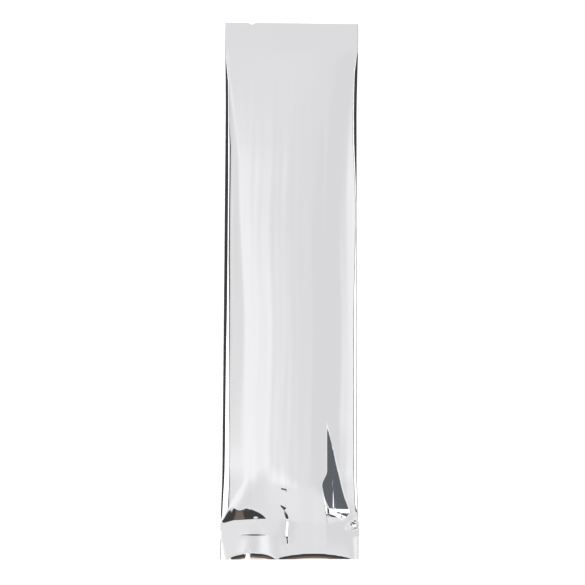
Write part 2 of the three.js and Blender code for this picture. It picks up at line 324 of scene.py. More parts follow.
# The crushed end above the bottom seal is made of flat facets, as folded film is: on the left a steep
# hollow, the pocket, with a tent-shaped fold and a fine crease in it, and in the middle a gentle ramp
POCKET_START = {"lower": 0.2, "higher": 0.75, "higher_x": (-18.5, -14.5), "lean": 0.05, "lean_x": -14}
RAMP_START = {"lower": 0.5, "x": 9.2, "width": 2.2}
STARTS_BLEND_X = (-3, 4)
POCKET = {"slope": 0.385, "end_x": -5.7, "end_slope": 0.5, "end_soft": 0.5, "soft": 0.08}
TENT = {"x": -13.7, "slope": 0.14, "width": 2.2, "narrowing": 0.3, "length": 3.6, "start": 0.1}
FINE_CREASE = {"x": -10.8, "height": 0.05, "width": 0.2, "start": 0.6}
RAMP_X = (-12, 3)  # between these places the ramp goes from its first slope to its second
RAMP_SLOPE = (0.172, 0.28)
RAMP_RISE = {"height": 1.5, "reach": 8.5, "soft": 0.4}
RAMP_SOFT = (0.5, 0.7)  # rounding of the crease between ramp and body, from left to right
RAMP_SOFT_X = (-10, -4)


def facets_start(x):
    """Where the facets start, from the bottom end: on the left a leaning line that is higher away from
    the corner, on the right a line with a dip beside the pleat, blended in the middle."""
    left = BOTTOM_FLAT - POCKET_START["lower"]
    left = left + POCKET_START["higher"] * smooth_ramp(x, *POCKET_START["higher_x"])
    left = left + POCKET_START["lean"] * (x - POCKET_START["lean_x"])
    right = BOTTOM_FLAT - RAMP_START["lower"] * bell(x - RAMP_START["x"], RAMP_START["width"])
    return mix(left, right, smooth_ramp(x, *STARTS_BLEND_X))


def pocket_height(x, t):
    """The steep facet by the distance t past its start: one slope, plus a tent that narrows as it
    rises, the fine crease, and a climb past the pocket's right end."""
    tent_width = TENT["width"] - TENT["narrowing"] * np.clip(t, 0, TENT["length"])
    tent = TENT["slope"] * t * bell(x - TENT["x"], tent_width) * ramp(t, 0, TENT["start"])
    crease = FINE_CREASE["height"] * bell(x - FINE_CREASE["x"], FINE_CREASE["width"])
    crease = crease * ramp(t, 0, FINE_CREASE["start"])
    end = POCKET["end_slope"] * soft_plus(x - POCKET["end_x"], POCKET["end_soft"])
    return POCKET["slope"] * t + tent + crease + end


def ramp_facet(x, t):
    """The gentle facet by the distance t past its start: its slope grows to the right, and left of the
    pocket's end it rises by 1 - exp(-distance/reach)."""
    slope = mix(*RAMP_SLOPE, smooth_ramp(x, *RAMP_X))
    beyond = soft_plus(POCKET["end_x"] - x, RAMP_RISE["soft"])
    return slope * t + RAMP_RISE["height"] * (1 - np.exp(-beyond / RAMP_RISE["reach"]))


def crushed_height(x, y):
    """The body, cut down to the lower of the crushed end's two facets."""
    t = from_bottom(y) - facets_start(x)
    ramp_soft = mix(*RAMP_SOFT, smooth_ramp(x, *RAMP_SOFT_X))
    ramped = soft_min(body_height(x, y), ramp_facet(x, t), ramp_soft)
    return soft_min(ramped, pocket_height(x, t), POCKET["soft"])


# A pleat on the right. Its facet falls from the crease to a fold, past which the pinched flank of the
# body goes on to the side edge, and a white-edged foot ends it above the bottom seal. The crease steps
# to the left on its way down, and the facet turns slightly at PLEAT_BEND, a drop below the crease that
# is larger below the step.
PLEAT_TOP = 37.5
PLEAT_BOTTOM = 10.9
PLEAT_STEP = {"x": 1.25, "along": 24, "length": 4, "drift": 0.15}
PLEAT_SLOPE = 0.386
PLEAT_BEND = {"x": 13, "drop": (1.18, 1.48)}
FOLD = {"reach": 7.7, "turn": 0.2, "power": 7, "soft": 0.04}
FLANK_END = 0.2  # from the side edge
FOOT = {"top": 13.9, "slope": 0.2, "steeper": 0.4, "fade": 1.2, "soft": 0.05}


def below_step(y):
    """How far below the crease's step the pack has come, and 0 above it."""
    return np.maximum(0, PLEAT_STEP["along"] - from_bottom(y))


def stepped(y):
    """0 above the crease's step, and 1 below it."""
    return smooth_ramp(below_step(y), 0, PLEAT_STEP["length"])


def crease_x(y):
    """Where the pleat starts: straight, with a step to the left, and drifting back below it."""
    drift = PLEAT_STEP["drift"] * np.maximum(0, below_step(y) - PLEAT_STEP["length"])
    return PLEAT_X - PLEAT_STEP["x"] * stepped(y) + drift


def fold_x(y):
    """Where the pleat's facet meets the flank: nearly straight, turning outwards at the bottom as a
    high power of the way down, and never left of the crease."""
    down = ramp(from_bottom(y), PLEAT_TOP, PLEAT_BOTTOM)
    reached = (1 - FOLD["turn"]) * down + FOLD["turn"] * down ** FOLD["power"]
    return np.maximum(PLEAT_X + FOLD["reach"] * reached, crease_x(y))


def facet_height(x, y):
    """The pleat's facet, flat from the crease to the bend and again past it. Its foot bends towards the
    seal, more steeply next to the crease."""
    crease = crease_x(y)
    crease_z = body_height(crease, y) + rim_tilt(crease, y)
    bend_z = body_height(PLEAT_X, y) + rim_tilt(PLEAT_X, y) - mix(*PLEAT_BEND["drop"], stepped(y))
    flat = mix(crease_z, bend_z, ramp(x, crease, PLEAT_BEND["x"]))
    flat = flat - PLEAT_SLOPE * np.maximum(0, x - PLEAT_BEND["x"]) - rim_tilt(x, y)
    foot_slope = FOOT["slope"] + FOOT["steeper"] * np.exp(-np.maximum(0, x - crease) / FOOT["fade"])
    return flat - foot_slope * soft_plus(FOOT["top"] - from_bottom(y), FOOT["soft"])


def flank_height(x, y):
    """The body past the fold, sheared down to meet the facet there."""
    fold = fold_x(y)
    shear = np.maximum(0, body_height(fold, y) - facet_height(fold, y))
    return body_height(x, y) - shear * ramp(x, half_width(y, 1) - FLANK_END, fold)


# The foot stands on the apron, which is the crushed end as it is at the foot's base, carried on up
# under the pleat and pressed lower. The film climbs from it in a steep lap, and in another at the crease.
BASE = {"along": 11.5, "rise": 1, "fade": 0.6, "turn_x": 14.5, "turn": 0.25, "soft": 0.3}
BULGE = {"height": 0.16, "left": (13.6, 14.6), "right": (18, 17), "above": 0.2, "width": 0.6}
APRON = {"lower": (0.32, 0.95), "lower_x": (13, 15.5), "start": 3, "end_x": (13, 10.5)}
APRON_JOIN = {"across": (1, 0), "along": 0.5}
BASE_LAP = 0.88
CREASE_LAP = 0.68


def base_line(x):
    """Where the foot stands, from the bottom end: it rises towards the crease, and turns down at the
    right."""
    rise = BASE["rise"] * np.exp(-np.maximum(0, x - PLEAT_X) / BASE["fade"])
    return BASE["along"] + rise - BASE["turn"] * soft_plus(x - BASE["turn_x"], BASE["soft"])


def apron_height(x, y):
    """The apron, lowered by a share of its height that grows away from the crease. Beside the crease it
    joins the crushed end above the base line."""
    past = x - crease_x(y)
    base = base_line(x)
    lower = mix(*APRON["lower"], smooth_ramp(x, *APRON["lower_x"])) * smooth_ramp(past, 0, APRON["start"])
    apron = crushed_height(x, np.minimum(y, base - HALF_LENGTH)) * (1 - lower)
    joined = smooth_ramp(past, *APRON_JOIN["across"]) * ramp(from_bottom(y) - base, 0, APRON_JOIN["along"])
    return mix(apron, crushed_height(x, y), joined)


def pleat_height(x, y):
    """The crushed end, and right of the crease the pleat: the facet and the flank, with a small bulge
    above the base line, as high as the two laps let it be and nowhere below the apron, which above the
    base line is there only near the crease."""
    above_base = from_bottom(y) - base_line(x)
    past = x - crease_x(y)
    on_flank = ramp(x - fold_x(y), -FOLD["soft"], FOLD["soft"])
    bulge = BULGE["height"] * smooth_ramp(x, *BULGE["left"]) * ramp(x, *BULGE["right"])
    bulge = bulge * bell(above_base - BULGE["above"], BULGE["width"])
    apron = apron_height(x, y)
    pleat = mix(facet_height(x, y), flank_height(x, y), on_flank) + bulge
    pleat = np.minimum(pleat, apron + BASE_LAP * above_base)
    pleat = np.maximum(pleat, apron * np.where(above_base > 0, smooth_ramp(x, *APRON["end_x"]), 1))
    crushed = crushed_height(x, y)
    pleat = np.minimum(pleat, crushed + CREASE_LAP * np.maximum(0, past))
    return np.where((past > 0) & (from_bottom(y) < PLEAT_TOP), pleat, crushed)


SEAL_BLEND = 0.02


def front_height(x, y):
    """The front above its rim, nowhere below the sealed film."""
    return soft_max(pleat_height(x, y), np.zeros_like(x), SEAL_BLEND)


def lap(u, half, slope, reach):
    """A step in the film across the line u = 0: straight within half of it, dying away on both sides."""
    return slope * np.clip(u, -half, half) * np.exp(-np.maximum(0, np.abs(u) - half) / reach)


# Where the fin's fold presses through, by the distance from the bottom end
SPINE_ALONG = (4.1, 4.4, 5.8, 6.3, 6.5, 9.6, 10.4, 10.7, 11.5, 12.3, 13.2, 13.4)
SPINE_HALF = (0, 0.26, 0.3, 0.55, 0.26, 0.28, 0.2, 0.3, 0.42, 0.4, 0.16, 0)
SPINE_SLOPE = (0.4, 0.4, 0.4, 0.4, 0.66, 0.66, 0.66, 0.2, 0.2, 0.2, 0.15, 0.15)
SPINE = {"x": -0.7, "waver": 0.12, "turns": 1.1, "lean": 0.3, "lean_along": 11.6, "reach": 1.3}
SPINE_LEAN_SOFT = 0.3


def spine(x, a):
    """A lap that climbs to the right, steeper along its middle. Its line wavers as a sine wave and
    leans left at the top."""
    lean = SPINE["lean"] * soft_plus(a - SPINE["lean_along"], SPINE_LEAN_SOFT)
    line = SPINE["x"] - SPINE["waver"] * np.sin(SPINE["turns"] * a) - lean
    half = np.interp(a, SPINE_ALONG, SPINE_HALF)
    return lap(x - line, half, np.interp(a, SPINE_ALONG, SPINE_SLOPE), SPINE["reach"])


# A triangle of film above the bottom seal, by its tip, a place on its top side, and their slopes
HOOK = {"tip": (-1.6, 13.4), "left": 1.156, "right": 0.79, "top": (-3.07, 15.1), "fall": 0.493}
HOOK_SLOPE = 0.17
HOOK_REACH = 1.2


def hook(x, a):
    """A lap that faces the bottom end, straight between the two sides that rise from the tip and the
    top side."""
    tip_x, tip_a = HOOK["tip"]
    top_x, top_a = HOOK["top"]
    low = tip_a + np.where(x < tip_x, HOOK["left"] * (tip_x - x), HOOK["right"] * (x - tip_x))
    high = top_a - HOOK["fall"] * (x - top_x)
    return lap(a - (low + high) / 2, np.maximum(0, high - low) / 2, HOOK_SLOPE, HOOK_REACH)


# Laps that face the bottom end and are lenses in outline: a dent in the body, an oblique mark above the
# right end of the bottom seal, and two knots of crushed film beside it
DENT = {"x": -1.6, "along": 19.0, "fall": 0.14, "long": 0.8, "wide": 0.13, "slope": 0.4, "reach": 1.5}
MARK = {"x": 15.65, "along": 8.9, "fall": 0.8, "long": 0.6, "wide": 0.35, "slope": 0.52, "reach": 0.5}
UPPER_KNOT = {"x": 17.3, "along": 10.0, "fall": 0.3, "long": 0.9, "wide": 0.4, "slope": 0.58, "reach": 0.5}
LOWER_KNOT = {"x": 17.8, "along": 8.7, "fall": 0, "long": 0.8, "wide": 0.3, "slope": 0.58, "reach": 0.5}
DENT_SWELL = {"height": 0.05, "across": 2.2, "along": 2}


def lens_line(x, a, lens):
    """Distance from the lens's centre line, which falls to the right."""
    return a - lens["along"] + lens["fall"] * (x - lens["x"])


def lens_lap(x, a, lens):
    """A lap along the centre line, straight within a half width that is a parabola of its length."""
    half = lens["wide"] * np.maximum(0, 1 - ((x - lens["x"]) / lens["long"]) ** 2)
    return lap(lens_line(x, a, lens), half, lens["slope"], lens["reach"])


def dent_swell(x, a):
    """The film about the dent: higher above it and lower below, as a tanh inside two bells."""
    around = bell(x - DENT["x"], DENT_SWELL["across"]) * bell(a - DENT["along"], DENT_SWELL["along"])
    return DENT_SWELL["height"] * np.tanh(lens_line(x, a, DENT)) * around


# The groove along the upper edge of the bottom seal, and low waves across the seal: the place, the lean,
# the width and the share of each
GROOVE = {"along": BOTTOM_SEAL - 0.1, "half": 0.24, "slope": 0.43, "reach": 0.8}
GROOVE_LEFT = (-14.2, -10)
GROOVE_RIGHT = (-5.5, -9)
WAVE_HEIGHT = 0.11
WAVES = ((-12.2, 0.25, 1.9, 1), (-4.6, -0.1, 1.7, 1), (-8.4, 0, 1.6, -1))
WAVES_END = (BOTTOM_FLAT, 4)


def groove(x, a):
    """A lap along the seal's edge, straight within a half width that tapers to both ends."""
    half = GROOVE["half"] * ramp(x, *GROOVE_LEFT) * ramp(x, *GROOVE_RIGHT)
    return lap(a - GROOVE["along"], half, GROOVE["slope"], GROOVE["reach"])


def seal_waves(x, a):
    """Bells across the seal whose centres lean, fading out above it."""
    total = sum(share * bell(x - place - lean * a, width) for place, lean, width, share in WAVES)
    return WAVE_HEIGHT * total * smooth_ramp(a, *WAVES_END)


# Two small bumps, one in the pocket and one on the pleat's foot
BUMPS = (
    {"x": -9.2, "along": 11.0, "height": 0.1, "across": 0.4, "lengthwise": 0.4},
    {"x": 13.1, "along": 12.4, "height": 0.05, "across": 0.6, "lengthwise": 0.45},
)


def small_bumps(x, a):
    """Each bump is a bell across the pack times one along it."""
    return sum(
        bump["height"] * bell(x - bump["x"], bump["across"]) * bell(a - bump["along"], bump["lengthwise"])
        for bump in BUMPS
    )


# Two thin ridges down the pleat, a long one and a short one, and the shallow tail above its top
LONG_RIDGE = {"x": 11.67, "height": 0.02, "top": (38, 28)}
SHORT_RIDGE = {"x": 15, "height": 0.008, "top": 16}
RIDGE_WIDTH = 0.1
RIDGES_START = (14, 14.6)
TAIL = {"x": 10.5, "width": 0.9, "depth": 0.045, "start": (34, 38), "top": (47, 40)}


def pleat_ridges(x, a):
    """Two narrow bells across the pleat. The long one fades out at its top."""
    long = LONG_RIDGE["height"] * bell(x - LONG_RIDGE["x"], RIDGE_WIDTH) * smooth_ramp(a, *LONG_RIDGE["top"])
    short = SHORT_RIDGE["height"] * bell(x - SHORT_RIDGE["x"], RIDGE_WIDTH) * (a < SHORT_RIDGE["top"])
    return (long + short) * smooth_ramp(a, *RIDGES_START)


def pleat_tail(x, a):
    """A hollow with a bell as its section, fading out at both ends."""
    faded = smooth_ramp(a, *TAIL["start"]) * smooth_ramp(a, *TAIL["top"])
    return -TAIL["depth"] * bell(x - TAIL["x"], TAIL["width"]) * faded


# The right end of the bottom seal is turned down
TURNED = {"x": 17.1, "slope": 0.24, "soft": 0.3, "top": (7.5, 5.5)}


def turned_end(x, a):
    """One slope to the right of a line, fading out above the seal."""
    return -TURNED["slope"] * soft_plus(x - TURNED["x"], TURNED["soft"]) * smooth_ramp(a, *TURNED["top"])


def front_relief(x, y):
    """The creases pressed into the front near the bottom seal, added up."""
    a = from_bottom(y)
    relief = spine(x, a) + hook(x, a) + dent_swell(x, a) + groove(x, a) + seal_waves(x, a)
    relief = relief + sum(lens_lap(x, a, lens) for lens in (DENT, MARK, UPPER_KNOT, LOWER_KNOT))
    return relief + small_bumps(x, a) + pleat_ridges(x, a) + pleat_tail(x, a) + turned_end(x, a)


# The fin seal on the back is folded towards +X
FIN_FOLD_X = -0.85
FIN_EDGE_X = 7.1
IMPRINT = {"depth": 0.012, "soft": 0.25, "fade": 9}


def fin_imprint(x, y):
    """The fin's two edges show through the end seals as low rounded steps."""
    past_seals = np.minimum(from_bottom(y) - BOTTOM_FLAT, from_top(y) - TOP_SEAL)
    soft = IMPRINT["soft"]
    over_fin = smooth_ramp(x, FIN_FOLD_X - soft, FIN_FOLD_X + soft)
    over_fin = over_fin * smooth_ramp(x, FIN_EDGE_X + soft, FIN_EDGE_X - soft)
    return -IMPRINT["depth"] * over_fin * (1 - ramp(past_seals, 0, IMPRINT["fade"]))


# Lengthwise ripples: wavelength, phase, and the length and the amount of the sideways drift
STREAKS = ((1.9, 0.4, 61, 0.9), (2.7, 2.1, 83, 1.3), (3.9, 4.0, 47, 1.1), (5.6, 1.2, 97, 0.7))
STREAK_SLOPE = 0.008
STREAKS_BOTTOM = (BOTTOM_FLAT, 20)
STREAKS_TOP = (TOP_SEAL, 40)


def streaks(x, y):
    """Shallow lengthwise ripples of film under tension: sine waves across the pack, each with its own
    wavelength, phase and slow sideways drift along the pack."""
    total = np.zeros_like(x)
    for wavelength, phase, drift_length, drift in STREAKS:
        turn = 2 * math.pi * x / wavelength + phase + drift * np.sin(2 * math.pi * y / drift_length)
        total = total + wavelength / (2 * math.pi) * np.sin(turn)
    faded = smooth_ramp(from_bottom(y), *STREAKS_BOTTOM) * smooth_ramp(from_top(y), *STREAKS_TOP)
    return STREAK_SLOPE * total * faded


LEAST_LIP = 0.24
LIP_SOFT = 0.02


def edge_drop(x, y):
    """What the front lacks at its side edges, so that a steep lip of a least width runs along all of
    them, less steep where the left corner is bent."""
    inwards = half_width(y, x) - np.abs(x)
    lip = np.minimum(lip_width(x, y), LEAST_LIP)
    lacking = soft_plus(LEAST_LIP - inwards, LIP_SOFT) - soft_plus(lip - inwards, LIP_SOFT)
    on_flap = FLAP["slope"] * (x < 0) * ramp(from_bottom(y), *FLAP_END)
    return (LIP_SLOPE - on_flap) * lacking


def front_z(x, y):
    """Height of the front film."""
    relief = front_relief(x, y) + fin_imprint(x, y) + streaks(x, y) - edge_drop(x, y)
    return rim_height(x, y) + SEAL_THICKNESS / 2 + front_height(x, y) + relief


BACK = {"depth": 1.3 * RIM_HEIGHT, "side": 1.5, "bottom": 4.5, "top": 6}


def back_depth(x, y):
    """How far the back film would hang below the rim: it turns under as 1 - exp(-distance/length) from
    both sides and from both end seals."""
    half = half_width(y, x)
    inner = (1 - np.exp(-(x + half) / BACK["side"])) * (1 - np.exp(-(half - x) / BACK["side"]))
    above_bottom = np.maximum(0, from_bottom(y) - BOTTOM_FLAT)
    below_top = np.maximum(0, from_top(y) - TOP_SEAL)
    ends = (1 - np.exp(-above_bottom / BACK["bottom"])) * (1 - np.exp(-below_top / BACK["top"]))
    return BACK["depth"] * inner * ends


def back_z(x, y):
    """Height of the back film's underside, which hangs as far as the folded fin lets it."""
    hanging = rim_height(x, y) - SEAL_THICKNESS / 2 - back_depth(x, y)
    return np.maximum(UNDERSIDE_HEIGHT * ramp(rim_height(x, y), 0, 1), hanging)


SPREAD_STEPS = 8001


def spread(low, high, count, crowding):
    """Positions from low to high, closer together where crowding(position) is larger: equal steps of
    the crowding's running total."""
    fine = np.linspace(low, high, SPREAD_STEPS)
    total = np.concatenate([[0], np.cumsum(crowding((fine[1:] + fine[:-1]) / 2))])
    return np.interp(np.linspace(0, total[-1], count), total, fine)


def follow_cuts(a, x):
    """Row positions along the pack: even along the body, and squeezed in each end seal so that the
    first and last rows run along the cut edges."""
    y = a - HALF_LENGTH
    seal_top = BOTTOM_SEAL - HALF_LENGTH
    low = seal_top + (bottom_cut(x) - seal_top) * (1 - a / BOTTOM_SEAL)
    seal_bottom = HALF_LENGTH - TOP_SEAL
    high = seal_bottom + (top_cut(x) - seal_bottom) * (1 - (PACK_LENGTH - a) / TOP_SEAL)
    return np.where(a < BOTTOM_SEAL, low, np.where(PACK_LENGTH - a < TOP_SEAL, high, y))


def grid_faces(rows, columns, first=0, flipped=False):
    """Quads of a grid of rows by columns, whose vertices are numbered row by row from first."""
    corner = first + np.arange(rows - 1)[:, None] * columns + np.arange(columns - 1)
    quads = np.stack([corner, corner + 1, corner + columns + 1, corner + columns], axis=-1)
    quads = quads.reshape(-1, 4)
    return quads[:, ::-1] if flipped else quads


def closed_faces(rows, columns):
    """The faces of two grids, one above the other and joined all round the rim, and how many of them
    are the grids' own. They come first and are shaded smooth; the rim's are flat."""
    numbers = np.arange(rows * columns).reshape(rows, columns)
    rim = np.concatenate([numbers[0, :], numbers[1:, -1], numbers[-1, -2::-1], numbers[-2:0:-1, 0]])
    rim_next = np.roll(rim, -1)
    rim_faces = np.stack([rim, rim + rows * columns, rim_next + rows * columns, rim_next], axis=-1)
    upper = grid_faces(rows, columns)
    lower = grid_faces(rows, columns, first=rows * columns, flipped=True)
    return np.concatenate([upper, lower, rim_faces]), 2 * len(upper)


def make_piece(name, points, faces, smooth_faces):
    """A mesh object from points in millimetres and rows of vertex numbers, shaded smooth up to
    smooth_faces and flat after it."""
    mesh = bpy.data.meshes.new(name)
    mesh.from_pydata((np.asarray(points) * MM).tolist(), [], faces.tolist())
    mesh.polygons.foreach_set("use_smooth", np.arange(len(mesh.polygons)) < smooth_faces)
    mesh.update()
    piece = bpy.data.objects.new(name, mesh)
    bpy.context.scene.collection.objects.link(piece)
    return piece


# The grid is finer at the edges and cuts, and where the front is creased: at a place, over a width, by a
# weight, next to a weight of 1 across the pack and of EVEN_ALONG along it
COLUMNS = 165
ROWS = 300
FINE_ACROSS = ((NOTCH_X, 1, 1), (-0.9, 0.9, 3.2), (9.4, 0.5, 4), (11.67, 0.4, 3))
FINE_ALONG = ((11.8, 0.8, 2), (6.7, 0.4, 3))
FINE_SIDES = {"weight": 6, "fade": 0.8}
FINE_CUTS = {"weight": 4, "fade": 0.3}
FINE_PLEAT = {"weight": 0.5, "end": (45, 25)}
FINE_CRUSHED = {"weight": 1.2, "start": (2, 4), "end": (24, 20)}
FINE_TOP = {"weight": 0.3, "start": (130, 142)}
EVEN_ALONG = 0.22


def crowding_across(x):
    """Weights across the pack: even, growing exponentially towards the side edges, and bells."""
    sides = FINE_SIDES["weight"] * np.exp((np.abs(x) - HALF_WIDTH) / FINE_SIDES["fade"])
    return 1 + sides + sum(weight * bell(x - place, width) for place, width, weight in FINE_ACROSS)


def crowding_along(a):
    """Weights along the pack: more in the pleat's part and yet more in the crushed end, a little more
    at the top seal, growing exponentially towards both cuts, and bells."""
    pleat = FINE_PLEAT["weight"] * smooth_ramp(a, *FINE_PLEAT["end"])
    crushed = smooth_ramp(a, *FINE_CRUSHED["start"]) * smooth_ramp(a, *FINE_CRUSHED["end"])
    top = FINE_TOP["weight"] * smooth_ramp(a, *FINE_TOP["start"])
    bottom_edge = np.exp(-a / FINE_CUTS["fade"])
    top_edge = np.exp((a - PACK_LENGTH) / FINE_CUTS["fade"])
    bells = sum(weight * bell(a - place, width) for place, width, weight in FINE_ALONG)
    edges = FINE_CUTS["weight"] * (bottom_edge + top_edge)
    return EVEN_ALONG + pleat + FINE_CRUSHED["weight"] * crushed + top + edges + bells


across = spread(-HALF_WIDTH, HALF_WIDTH, COLUMNS, crowding_across)
along = spread(0, PACK_LENGTH, ROWS, crowding_along)
flat_x, flat_a = np.meshgrid(across, along)
film_y = follow_cuts(flat_a, flat_x)
film_x = flat_x / HALF_WIDTH * half_width(film_y, flat_x)
front_points = np.stack([film_x, film_y, front_z(film_x, film_y)], axis=-1).reshape(-1, 3)
back_points = np.stack([film_x, film_y, back_z(film_x, film_y)], axis=-1).reshape(-1, 3)

film_points = np.concatenate([front_points, back_points])
film = make_piece("film_tube", film_points, *closed_faces(*film_x.shape))


class Field:
    """The output of a shader node, which arithmetic can be written with."""

    def __init__(self, shader, socket):
        self.shader = shader
        self.socket = socket

    def math(self, operation, *others):
        """This field, and others, put through a Math node."""
        inputs = {0: self, **{place + 1: other for place, other in enumerate(others)}}
        return self.shader.node("Math", {"operation": operation}, inputs)

    def __add__(self, other):
        return self.math("ADD", other)

    __radd__ = __add__

    def __mul__(self, other):
        return self.math("MULTIPLY", other)

    __rmul__ = __mul__

    def __sub__(self, other):
        return self.math("SUBTRACT", other)

    def __rsub__(self, other):
        return self.math("MULTIPLY_ADD", -1.0, other)

    def __truediv__(self, other):
        return self.math("DIVIDE", other)

    def ramp(self, start, end):
        """0 up to start, 1 from end on, eased in between; start may be the larger."""
        settings = {"interpolation_type": "SMOOTHSTEP"}
        if start < end:
            return self.shader.node("MapRange", settings, {0: self, 1: start, 2: end})
        return self.shader.node("MapRange", settings, {0: self, 1: end, 2: start, 3: 1.0, 4: 0.0})

    def band(self, start, end, soft):
        """1 between start and end, 0 outside, eased over soft on each side."""
        return self.ramp(start - soft, start) * self.ramp(end + soft, end)


class Shader:
    """A node tree that is cleared and then filled by node() and by arithmetic on fields."""

    def __init__(self, owner):
        owner.use_nodes = True
        self.tree = owner.node_tree
        self.tree.nodes.clear()

    def node(self, kind, settings, inputs, output=0):
        """Adds a node: settings are its own properties; inputs are the values or fields of its sockets,
        by name or number. Gives back the wanted output as a field."""
        node = self.tree.nodes.new("ShaderNode" + kind)
        for name, value in settings.items():
            setattr(node, name, value)
        for name, value in inputs.items():
            if isinstance(value, Field):
                self.tree.links.new(value.socket, node.inputs[name])
            else:
                node.inputs[name].default_value = value
        return Field(self, node.outputs[output]) if node.outputs else None

    def blend(self, factor, first, second):
        """The first colour where factor is 0, the second where it is 1."""
        return self.node("Mix", {"data_type": "RGBA"}, {0: factor, 6: first, 7: second}, output=2)


# Bright aluminium behind clear plastic, with faint lengthwise scratches and cloudy patches of haze
FILM_COLOUR = (0.93, 0.93, 0.937, 1)
SCRATCHES_PER_METRE = (9000, 160, 3000)
PATCHES_PER_METRE = 260.0
PATCH_BUMP = 2.0  # against the scratches
BUMP_STRENGTH = 0.12
BUMP_HEIGHT = 0.00002
LEAST_ROUGHNESS = 0.04
PATCH_ROUGHNESS = 0.04

film_material = bpy.data.materials.new("metallized_film")
shader = Shader(film_material)
place = shader.node("TexCoord", {}, {}, output="Object")
scratched = shader.node("Mapping", {}, {0: place, 3: SCRATCHES_PER_METRE})
scratches = shader.node("TexNoise", {}, {"Vector": scratched, "Scale": 1.0, "Detail": 3.0})
patches = shader.node("TexNoise", {}, {"Vector": place, "Scale": PATCHES_PER_METRE, "Detail": 4.0})
film_bump = shader.node(
    "Bump",
    {},
    {"Strength": BUMP_STRENGTH, "Distance": BUMP_HEIGHT, "Height": scratches + PATCH_BUMP * patches},
)
film_bsdf = shader.node(
    "BsdfPrincipled",
    {},
    {
        "Base Color": FILM_COLOUR,
        "Metallic": 1.0,
        "Roughness": LEAST_ROUGHNESS + PATCH_ROUGHNESS * patches,
        "Normal": film_bump,
    },
)
shader.node("OutputMaterial", {}, {"Surface": film_bsdf})
film.data.materials.append(film_material)
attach(film, "root")
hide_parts("stick_pack")


# ---- Fin seal ----
# The tube's two side edges are sealed face to face into a fin along the back. The fin is folded flat
# against the back film, with its free edge towards +X, and the end seals press it thinner.
FIN_COLUMNS = 15
FIN_ROWS = 620
FIN_OVERLAP = 0.02  # the fold's film runs into the back film
FIN_PRESSED = 0.14  # thickness inside the end seals
FIN_FULL = 6  # distance from the end seals to its full thickness
CRIMP_PITCH = 1.1
CRIMP_DEPTH = 0.02
CRIMP_LEFT = (FIN_FOLD_X + 0.5, FIN_FOLD_X + 1.2)
CRIMP_RIGHT = (FIN_EDGE_X - 0.3, FIN_EDGE_X - 0.9)


def fin_thickness(y):
    """Full along the body and pressed thinner in the end seals."""
    inside = np.minimum(from_bottom(y) - BOTTOM_FLAT, from_top(y) - TOP_SEAL)
    return mix(FIN_PRESSED, UNDERSIDE_HEIGHT, smooth_ramp(inside, 0, FIN_FULL))


def crimp(x, y):
    """The sealing jaw's ridges: a sine wave along the fin, fading out beside its fold and its edge."""
    inner = smooth_ramp(x, *CRIMP_LEFT) * smooth_ramp(x, *CRIMP_RIGHT)
    return CRIMP_DEPTH * inner * (0.5 + 0.5 * np.sin(2 * math.pi * y / CRIMP_PITCH))


fin_across = np.linspace(FIN_FOLD_X, FIN_EDGE_X, FIN_COLUMNS)
fin_along = np.linspace(0, PACK_LENGTH, FIN_ROWS)
fin_x, fin_a = np.meshgrid(fin_across, fin_along)
fin_y = follow_cuts(fin_a, fin_x)
fin_top = back_z(fin_x, fin_y) + FIN_OVERLAP
fin_bottom = back_z(fin_x, fin_y) - fin_thickness(fin_y) + crimp(fin_x, fin_y)
fin_top_points = np.stack([fin_x, fin_y, fin_top], axis=-1).reshape(-1, 3)
fin_bottom_points = np.stack([fin_x, fin_y, fin_bottom], axis=-1).reshape(-1, 3)
fin_points = np.concatenate([fin_top_points, fin_bottom_points])
fin = make_piece("fin_seal", fin_points, *closed_faces(*fin_x.shape))
fin.data.materials.append(film_material)
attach(fin, "root")
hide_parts("stick_pack")


# ---- Floor ----
# The pack lies on a plain white table top, much larger than itself. It glows a little, so that it comes
# out as the pale ground of a product picture.
FLOOR_HALF = 1500
FLOOR_COLOUR = (0.86, 0.86, 0.86, 1)
FLOOR_GLOW = 0.35
WHITE = (1, 1, 1, 1)

floor_corners = np.array([[-1, -1, 0], [1, -1, 0], [1, 1, 0], [-1, 1, 0]])
floor = make_piece("floor", floor_corners * FLOOR_HALF, np.array([[0, 1, 2, 3]]), 0)
floor_material = bpy.data.materials.new("white_table")
shader = Shader(floor_material)
floor_bsdf = shader.node(
    "BsdfPrincipled",
    {},
    {
        "Base Color": FLOOR_COLOUR,
        "Roughness": 0.9,
        "Specular IOR Level": 0.1,
        "Emission Color": WHITE,
        "Emission Strength": FLOOR_GLOW,
    },
)
shader.node("OutputMaterial", {}, {"Surface": floor_bsdf})
floor.data.materials.append(floor_material)


# ---- Light tent ----
# White cloth all round the table: a soft ceiling, brighter walls lit from outside, a dark gap at the
# foot of the walls, and an opening at the front that the photographer stands in.

# The light of the cloth, where 1 is white, by the direction it comes from. Sideways is in degrees to the
# right of straight up, forward towards the front, and polar away from straight up to any side. To_front
# and to_left are 1 in their own direction, 0 square to it and -1 opposite.
DEGREES = 180 / math.pi

world = bpy.data.worlds.new("light_tent")
bpy.context.scene.world = world
shader = Shader(world)
direction = shader.node("TexCoord", {}, {}, output="Generated")
east, north, up = (shader.node("SeparateXYZ", {}, {0: direction}, output=axis) for axis in range(3))
polar = up.math("ARCCOSINE") * DEGREES
sideways = east.math("ARCTAN2", up) * DEGREES
forward = (0 - north).math("ARCTAN2", up) * DEGREES
level = (east * east + north * north).math("SQRT").math("MAXIMUM", 0.001)
to_front = (0 - north) / level
to_left = (0 - east) / level

